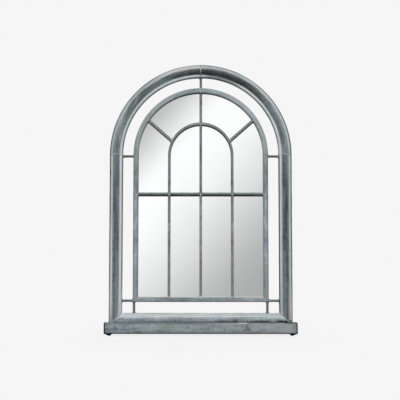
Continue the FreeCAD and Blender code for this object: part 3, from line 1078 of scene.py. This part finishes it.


# %% [markdown]
# The arch has hung highest and was cleaned least. A dark stain lies on its bead round the crown and
# reaches further down on the right, with painted shade on the bead's inner side, which faces down there,
# while a spot left of the crown is rubbed nearly white.

# %% Marks on the arch
CROWN_TINT = (0.034, 0.034, 0.031)
# How strongly the crown's dark patina and painted shade show across the section.
CROWN_SHADE_AND_STAIN = [
    (0, 0), (11, 0.05), (14, 0.2), (16, 0.4), (19, 0.62), (23, 0.7), (30, 0.7), (36, 0.84), (41, 0.88),
    (42.5, 0), (55, 0),
]
INNER_FILLET = [(0, 0), (40, 0), (42, 1.0), (51, 1.0), (55, 0.5)]
OUTER_FILLET = [(0, 0), (3.5, 0), (5.5, 1.0), (13, 1.0), (15, 0.3), (18, 0), (55, 0)]
INNER_SLOPE = [(0, 0), (25, 0), (30, 0.6), (34, 1.0), (40, 1.0), (42, 0), (55, 0)]


def near_crown(at):
    """How close a point lies to the crown, reaching further down on the right."""
    return (at.z + at.x * 0.25).rise(0.24, 0.35)


def rubbed_arch(at):
    """The arch's fillets are rubbed less than the jambs', least low on the left."""
    share, tint = rubbed_fillets(at)
    return share * at.x.ramp(-0.26, -0.12, 0.78, 0.92), tint


def crown_stain_and_shade(at):
    """Dark patina and painted shade on the bead round the crown, deepest on its inner side, which faces down.
    """
    patch = at.place.noise(24.0, 4.0).ramp(0.25, 0.6, 0.75, 1.05)
    return near_crown(at) * at.inward.bands(CROWN_SHADE_AND_STAIN) * patch, CROWN_TINT


def crown_rim(at):
    """Right of the crown the stain runs over the inner fillet as well."""
    aside = at.x.rise(0.0, 0.04, 0.62) * at.x.fade(0.13, 0.18)
    return near_crown(at) * aside * at.inward.bands(INNER_FILLET), CROWN_TINT


def crown_rub(at):
    """Left of the crown the outer fillet is rubbed nearly white."""
    spot = at.x.rise(-0.2, -0.12) * at.x.fade(-0.02, 0.03) * at.z.rise(0.26, 0.32, 0.95)
    return spot * at.inward.bands(OUTER_FILLET), (1.0, 1.0, 0.98)


def pale_haunch(at):
    """On the left haunch of the arch the inner slope of the bead is paler."""
    haunch = at.x.fade(-0.2, -0.12, 0.24) * at.z.rise(0.06, 0.14)
    return haunch * at.inward.bands(INNER_SLOPE), (0.6, 0.68, 0.69)


# %% [markdown]
# Painted shade lies on the faces under every bar, on the lower half of the crossbar, and on the rounded rims
# of the small arch and of the slanting bars, and the faces that look up are paler. The welds were dressed
# bright and have stayed paler.

# %% Marks on bars and strips
WELD_PALE = (0.68, 0.71, 0.7)


# Painted shade on the faces that look down, under the bars, the strips and the sill.
def painted_shade_below(at, most=0.9):
    return at.up.fade(-0.7, -0.1) * most, GRIME_AND_SHADE


# A fainter painted shade, for the faces under the inner strips.
def thin_painted_shade_below(at):
    return painted_shade_below(at, 0.315)


def dark_rims(at):
    """Painted shade on the rounded rims of the small arch and of the slanting bars."""
    return abs(at.inward).rise(0.0036, 0.0062, 0.7) * at.z.rise(-0.01, 0.03), STAIN_AND_SHADE


def crossbar_shade(at):
    """Painted shade: the lower half of the crossbar is nearly black."""
    low = at.z.fade(crossbar_z - 0.003, crossbar_z + 0.004, 0.83)
    patch = at.place.noise(40.0, 3.0, 0.6, (0.4, 1.0, 2.0)).ramp(0.3, 0.55, 0.7, 1.0)
    return low * patch, GRIME_AND_SHADE


def pale_welds(at):
    near = source(at.place.tree, "Attribute", "Fac", attribute_name="weld")
    ragged = near + at.place.noise(240.0, 2.0, 0.5) * 0.4
    return ragged.rise(0.35, 0.8, 0.8), WELD_PALE


def pale_head(at):
    """The round head of the inner frame is paler on both haunches than at its crown."""
    return abs(at.x).rise(0.05, 0.12, 0.4) * at.z.rise(-0.03, 0.04), (0.8, 0.87, 0.88)


# The faces that look up are paler.
def paler_facing_up(at):
    return at.up.rise(0.5, 0.9, 0.75), (0.9, 0.92, 0.92)


# %% [markdown]
# The sill catches most of the wear: grime and painted shade along its edges and on its ledge, painted shade
# on its underside, chips in the paint where the frame stands on it, and one dark patch of patina on its face.
# Right of the middle it is paler.

# %% Marks on the sill
CHIPS_X = 0.167
CHIPS_HALF = 0.019
BLOTCH_X = 0.186
BLOTCH_Z = -0.712
BLOTCH_HALF = 0.019
BLOTCH_RISE = 0.02
BLOTCH_DROP = 0.004


def sill_paler_right(at):
    cloud = at.place.noise(11.0, 3.0, 0.5).ramp(0.35, 0.6, 0.5, 1.0)
    return at.x.rise(-0.08, 0.08, 0.45) * cloud, (0.7, 0.76, 0.75)


def dark_ledge(at):
    """Grime and painted shade on the faces that look up, thicker to the right and closed at the right end."""
    patch = at.place.noise(22.0, 4.0).ramp(0.35, 0.6, 0.7, 1.0) * at.x.ramp(-0.08, 0.12, 0.4, 0.9)
    return at.up.rise(0.25, 0.8) * patch.most(at.x.rise(0.31, 0.34)), GRIME_AND_SHADE


def sill_edges(at):
    """Grime and painted shade along the lower edge of the sill's face, at the ends of its upper edge, and at
    its right end.
    """
    low = at.z.fade(sill_bottom + 0.002, sill_bottom + 0.0065, 0.95)
    ends = at.x.ramp(-0.03, 0.08, 1.0, 0.1).most(at.x.rise(0.33, 0.36))
    high = at.z.rise(sill_top - 0.0075, sill_top - 0.002, 0.5) * ends
    return low.most(high).most(at.x.rise(0.355, 0.383, 0.35)), GRIME_AND_SHADE


def sill_blotch(at):
    """A ragged dark patch of patina on the sill's face, with a pointed top."""
    above = at.z - BLOTCH_Z
    tall = (above / BLOTCH_RISE).most(above / -BLOTCH_DROP)
    ragged = at.place.noise(110.0, 2.0).ramp(0.3, 0.7, -0.2, 0.2)
    reach = abs(at.x - BLOTCH_X) / BLOTCH_HALF + tall + ragged
    on_face = at.y.fade(0.002 - sill_depth, 0.005 - sill_depth)
    return reach.fade(0.85, 1.1, 0.6) * on_face, (0.11, 0.135, 0.13)


def chips(at):
    """Pale chips along the seam between the frame and the sill."""
    aside = abs(at.x - CHIPS_X).fade(CHIPS_HALF - 0.002, CHIPS_HALF + 0.002)
    seam = abs(at.z - (sill_top + 0.002)).fade(0.003, 0.0042)
    return aside * seam * at.place.noise(130.0, 2.0, 0.5).rise(0.42, 0.5), (1.0, 1.0, 0.98)


def sill_chips(at):
    """On the sill the chips lie only along the front edge of its top."""
    share, tint = chips(at)
    return share * at.y.fade(0.018 - sill_depth, 0.022 - sill_depth), tint


# %% [markdown]
# Tones across the moulding turn its section into light and shade: a dim outer edge, a bright fillet, a
# dark hollow before the crest of the bead, and a pale inner slope. They differ between jambs, arch and
# rail, because each faces another part of the room. Rubbed fillets are smoother than the patina.

# %% Zinc of the outer frame
DARK_ZINC = (0.165, 0.18, 0.185)
MID_ZINC = (0.37, 0.415, 0.428)
PALE_ZINC = (0.58, 0.635, 0.65)
JAMB_TONES = [
    (0, 0.55), (4.5, 0.6), (6.5, 1.0), (12.5, 1.0), (14.5, (1.15, 1.12, 1.06)), (19, (0.9, 0.87, 0.83)),
    (23, (0.44, 0.435, 0.43)), (27, (0.54, 0.55, 0.58)), (31, (0.66, 0.69, 0.83)), (36, (0.85, 0.89, 1.08)),
    (40, (1.15, 1.17, 1.28)), (42, 1.3), (50, 1.3), (52, 0.6), (55, 0.42),
]
ARCH_TONES = [
    (0, 0.5), (4.5, 0.55), (6.5, 0.9), (12.5, 0.95), (14.5, 1.08), (19, 0.84), (23, 0.67), (27, 0.8),
    (31, (1.08, 1.1, 1.13)), (36, (1.42, 1.46, 1.5)), (40, 1.45), (42, 1.2), (50, 1.25), (52, 1.1), (55, 1.2),
]
RAIL_TONES = [
    (0, 1.4), (20, 2.3), (24, 2.0), (28, 1.34), (32, 0.98), (37, 0.96), (40, 1.2), (42, 1.5), (50, 1.5),
    (53, 1.2), (55, 0.75),
]
MOULDING_GLOSS = [
    (0, 1.0), (6, 0.95), (7.5, 0.5), (12, 0.5), (14, 0.9), (41, 0.9), (43.5, 0.45), (50, 0.45), (55, 0.9),
]
JAMB_MARKS = [
    bead_patina, bead_sheen, pale_shoulder, rubbed_fillets, low_outer_rub, low_left_rub, inner_edge_grime,
    mitre_rub, seam_grime_and_shade, dull_inside,
]
ARCH_MARKS = [
    bead_patina, pale_shoulder, rubbed_arch, crown_rub, pale_haunch, crown_stain_and_shade, crown_rim, dull_inside,
]
RAIL_MARKS = [rubbed_fillets, rail_highlight, mitre_rub, seam_grime_and_shade, chips, dull_inside]

for part, name, tones, marks, flecks in (
    ("moulding_jamb", "zinc_jambs", JAMB_TONES, JAMB_MARKS, 0.5),
    ("moulding_arch", "zinc_arch", ARCH_TONES, ARCH_MARKS, 0.5),
    ("moulding_rail", "zinc_rail", RAIL_TONES, RAIL_MARKS, 0.3),
):
    paint(zinc(name, DARK_ZINC, MID_ZINC, PALE_ZINC, 0.5, tones, MOULDING_GLOSS, marks, flecks), made, part)

paint(zinc("zinc_weld", (0.4, 0.43, 0.43), (0.5, 0.54, 0.54), (0.7, 0.74, 0.73), 0.2), made, "weld_crown")
paint(zinc("zinc_weld_pale", (0.52, 0.57, 0.57), (0.7, 0.75, 0.75), (0.92, 0.95, 0.94), 0.1),
      made, "weld_spring_", "weld_mitre_")

# %% [markdown]
# The inner strips are the palest metal of the front, with painted shade on their rounded edges, and the short
# bars are painted the darkest, as shade, because they lie deepest. The sill has its own tones from its lower
# edge up, with painted shade along its rounded lower edge. At the back nothing was rubbed, so the rim strips
# and hanging plates keep a plain dark zinc.

# %% Zinc of strips, bars, sill and back
# These tones paint shade on the rounded edges of the strips and along the rounded lower edge of the sill.
STRIP_TONES = [(0, 0.3), (2, 0.55), (4.2, 1.12), (10, 1.13), (16, 1.03), (18.2, 0.88), (20, 0.8)]
SILL_TONES = [(0, 0.6), (2.5, 0.85), (6, 0.97), (14, 1.1), (22, 1.16), (32, 1.06), (39, 0.97), (43, 0.9)]
SILL_MARKS = [sill_paler_right, dark_ledge, sill_edges, sill_blotch, sill_chips, painted_shade_below]

paint(zinc("zinc_strips", (0.27, 0.3, 0.312), (0.46, 0.518, 0.54), (0.68, 0.742, 0.765), 0.4, STRIP_TONES,
           marks=[pale_head, pale_welds, paler_facing_up, thin_painted_shade_below], flecks=0.25), made, "inner_")
paint(zinc("zinc_bars", (0.173, 0.188, 0.188), (0.408, 0.438, 0.438), (0.63, 0.66, 0.66), 0.4,
           marks=[dark_rims, pale_welds, painted_shade_below]), made, "bar_", "side_bar_", "slanting_bar_")
paint(zinc("zinc_crossbar", (0.17, 0.19, 0.19), (0.4, 0.445, 0.445), (0.62, 0.67, 0.67), 0.4,
           marks=[crossbar_shade, pale_welds, painted_shade_below]), made, "crossbar_")
# The short bars get the darkest zinc, as painted shade, because they lie deepest.
paint(zinc("zinc_spacers", (0.12, 0.132, 0.132), (0.28, 0.305, 0.31), (0.5, 0.54, 0.54), 0.4,
           marks=[pale_welds, painted_shade_below]), made, "spacer_")
paint(zinc("zinc_sill", (0.2, 0.226, 0.232), (0.51, 0.582, 0.595), (0.75, 0.82, 0.835), 0.3, SILL_TONES,
           marks=SILL_MARKS, flecks=0.12), made, "sill_box")
paint(zinc("zinc_back", (0.10, 0.11, 0.115), (0.2, 0.22, 0.23), (0.36, 0.39, 0.4), 0.4, object_space=True),
      frame["nodes"], "rim_", "keyhole_")

# %% [markdown]
# The mirror is silvered float glass. From any distance it is a plain metallic shader with hardly any
# roughness; a faint haze of dust keeps its reflections from being perfect. Behind it lie a sheet of
# needled felt, whose fibres run one way, and a panel of hardboard with its fine pressed weave.

# %% Mirror, felt and back panel
def build_mirror():
    material, place = start_material("mirror_silver")
    haze = place.noise(6.0, 4.0).rise(0.4, 0.7)
    return dress(material, blend(haze, (0.955, 0.96, 0.96), (0.93, 0.935, 0.935)), haze * 0.012, 1.0)


def build_felt():
    material, place = start_material("needled_felt")
    fibres = place.noise(1400.0, 4.0, 0.7, (1.0, 1.0, 0.35))
    colour = blend(fibres, (0.03, 0.03, 0.032), (0.16, 0.16, 0.165))
    return dress(material, colour, 0.95, height=fibres, strength=0.8, depth=0.0008)


def build_hardboard():
    material, place = start_material("hardboard")
    colour = blend(place.noise(7.0, 5.0).rise(0.3, 0.7), (0.16, 0.095, 0.055), (0.27, 0.17, 0.1))
    colour = blend(place.noise(420.0, 3.0, 0.65) * 0.4, colour, (0.36, 0.25, 0.16))
    colour = blend(place.noise(190.0).rise(0.6, 0.72, 0.5), colour, (0.08, 0.05, 0.03))
    weave = source(place.tree, "TexVoronoi", "Distance", Vector=place, Scale=650.0)
    return dress(material, colour, 0.75, height=weave, depth=0.0004)


paint(build_mirror(), frame["nodes"], "mirror_glass")
paint(build_felt(), frame["nodes"], "backing_felt")
paint(build_hardboard(), frame["nodes"], "back_panel")

# %% [markdown]
# The small hardware is zinc-plated steel, brighter and smoother than the aged frame, with faint
# brushed lines. The caps are matt moulded plastic with a fine grain, and the feet are soft rubber.

# %% Hardware, caps and feet
def build_plated():
    material, place = start_material("plated_steel")
    lines = place.noise(2400.0, 2.0, 0.5, (0.05, 1.0, 1.0))
    colour = blend(place.noise(160.0), (0.42, 0.43, 0.44), (0.7, 0.7, 0.66))
    return dress(material, colour, lines * 0.2 + 0.22, 1.0, lines, 0.25, 0.0002)


def build_black(name, base, worn, grain_scale, grain_depth, rough):
    material, place = start_material(name)
    share = place.noise(60.0, 5.0, 0.65).rise(0.45, 0.75)
    grain = place.noise(grain_scale, 2.0, 0.5)
    colour = blend(share, base, worn)
    return dress(material, colour, share * 0.15 + rough, height=grain, depth=grain_depth, specular=0.2)


paint(build_plated(), frame["nodes"], "turn_clip_", "clip_")
paint(build_black("cap_plastic", (0.008, 0.008, 0.009), (0.035, 0.035, 0.035), 900.0, 0.0003, 0.5),
      made, "end_cap_")
paint(build_black("foot_rubber", (0.008, 0.008, 0.008), (0.035, 0.034, 0.033), 500.0, 0.0004, 0.75),
      made, "foot_")

# %% [markdown]
# The background is even and pale. The surroundings that light the metal are soft: brightest overhead,
# pale at the sides, a little dimmer in front and dim below. Straight ahead of the mirror hangs a soft
# white card, which the glass shows as a slanting gradient. It is worked out from directions, as part of
# the surroundings, so it casts no shadow and hides nothing.

# %% Surroundings
PALE = 0.917
CARD_RISE = 0.07
CARD_SURE = 0.2
CARD_END = 0.42
CARD_WHITE = 1.04
LOW_SLOPE = 1.084
HIGH_SLOPE = 1.155


def build_world():
    world = bpy.data.worlds.new("studio")
    bpy.context.scene.world = world
    world.use_nodes = True
    tree = world.node_tree
    side, ahead, up = split(source(tree, "TexCoord", "Generated"))
    facing = ahead.ramp(-1.0, -0.25, 0.95, 1.15)
    around = (up.ramp(-0.25, 0.15, 0.13, 0.47) + up.rise(0.45, 0.95, 1.15)) * facing
    forward = (ahead * -1.0).most(0.05)
    lean = side / forward
    height = up / forward
    inside = abs(lean).fade(CARD_SURE, CARD_END) * abs(height - CARD_RISE).fade(CARD_SURE, CARD_END)
    inside = inside * ahead.rise(-0.2, -0.6)
    low_right = (height - lean * LOW_SLOPE).ramp(-0.15, 0.144, 0.413, 1.0)
    high_left = (height - lean * HIGH_SLOPE).ramp(0.15, 0.264, 1.0, 0.5)
    card = low_right * high_left * CARD_WHITE
    camera_sees = source(tree, "LightPath", "Is Camera Ray")
    level = inside * card + (1.0 - inside) * around
    plug(camera_sees * PALE + (1.0 - camera_sees) * level, tree.nodes["Background"].inputs["Color"])
    print("world", world.name, "nodes", len(tree.nodes))


build_world()

# %% [markdown]
# The floor is a large disc. Close under the mirror a little of its own shading shows, and further out it
# glows as evenly as the background, so that no horizon can be seen. It is staging, not part of the mirror.

# %% Floor
FLOOR_RADIUS = 1.25
FLOOR_SIDES = 96


def build_floor():
    to_object_mode()
    bpy.ops.mesh.primitive_circle_add(vertices=FLOOR_SIDES, radius=FLOOR_RADIUS, fill_type="NGON")
    floor = bpy.context.object
    floor.name = "studio_floor"
    floor.location = (0, 0, cad_low.z)
    pick(floor)
    bpy.ops.object.transform_apply(location=True)
    material, place = start_material("pale_floor")
    tree = material.node_tree
    camera_sees = source(tree, "LightPath", "Is Camera Ray")
    dress(material, blend(camera_sees, (0.16, 0.16, 0.16), (0.8, 0.8, 0.8)), 0.9)
    distance = source(tree, "VectorMath", "Value", operation="LENGTH", Vector=place)
    mix = tree.nodes.new("ShaderNodeMixShader")
    plug(camera_sees * (1.0 - distance.fade(0.8, 1.2, 0.1)), mix.inputs[0])
    tree.links.new(tree.nodes["Principled BSDF"].outputs[0], mix.inputs[1])
    plug(source(tree, "Emission", 0, Color=(PALE, PALE, PALE)), mix.inputs[2])
    tree.links.new(mix.outputs[0], tree.nodes["Material Output"].inputs["Surface"])
    floor.data.materials.append(material)
    print(floor.name, "radius", FLOOR_RADIUS)


build_floor()

# %% [markdown]
# The camera stands about three metres away at the height of the lower panes and looks up by three and
# a half degrees. The lens follows from how large the mirror stands in the picture.

# %% Camera
PICTURE = 400
FOCAL_PIXELS = 750
SENSOR = 36.0
CAMERA_PLACE = (-0.003, -3.098, -0.3801)
CAMERA_PITCH = 3.594
CAMERA_ROLL = 0.03

lens = bpy.data.cameras.new("camera")
lens.sensor_width = SENSOR
lens.lens = SENSOR * FOCAL_PIXELS / PICTURE
camera = bpy.data.objects.new("camera", lens)
bpy.context.scene.collection.objects.link(camera)
tilt = Matrix.Rotation(math.radians(90 + CAMERA_PITCH), 4, "X")
roll = Matrix.Rotation(math.radians(CAMERA_ROLL), 4, "Z")
camera.matrix_world = Matrix.Translation(CAMERA_PLACE) @ tilt @ roll
bpy.context.scene.camera = camera
bpy.context.scene.view_settings.view_transform = "Standard"
print("lens", lens.lens)
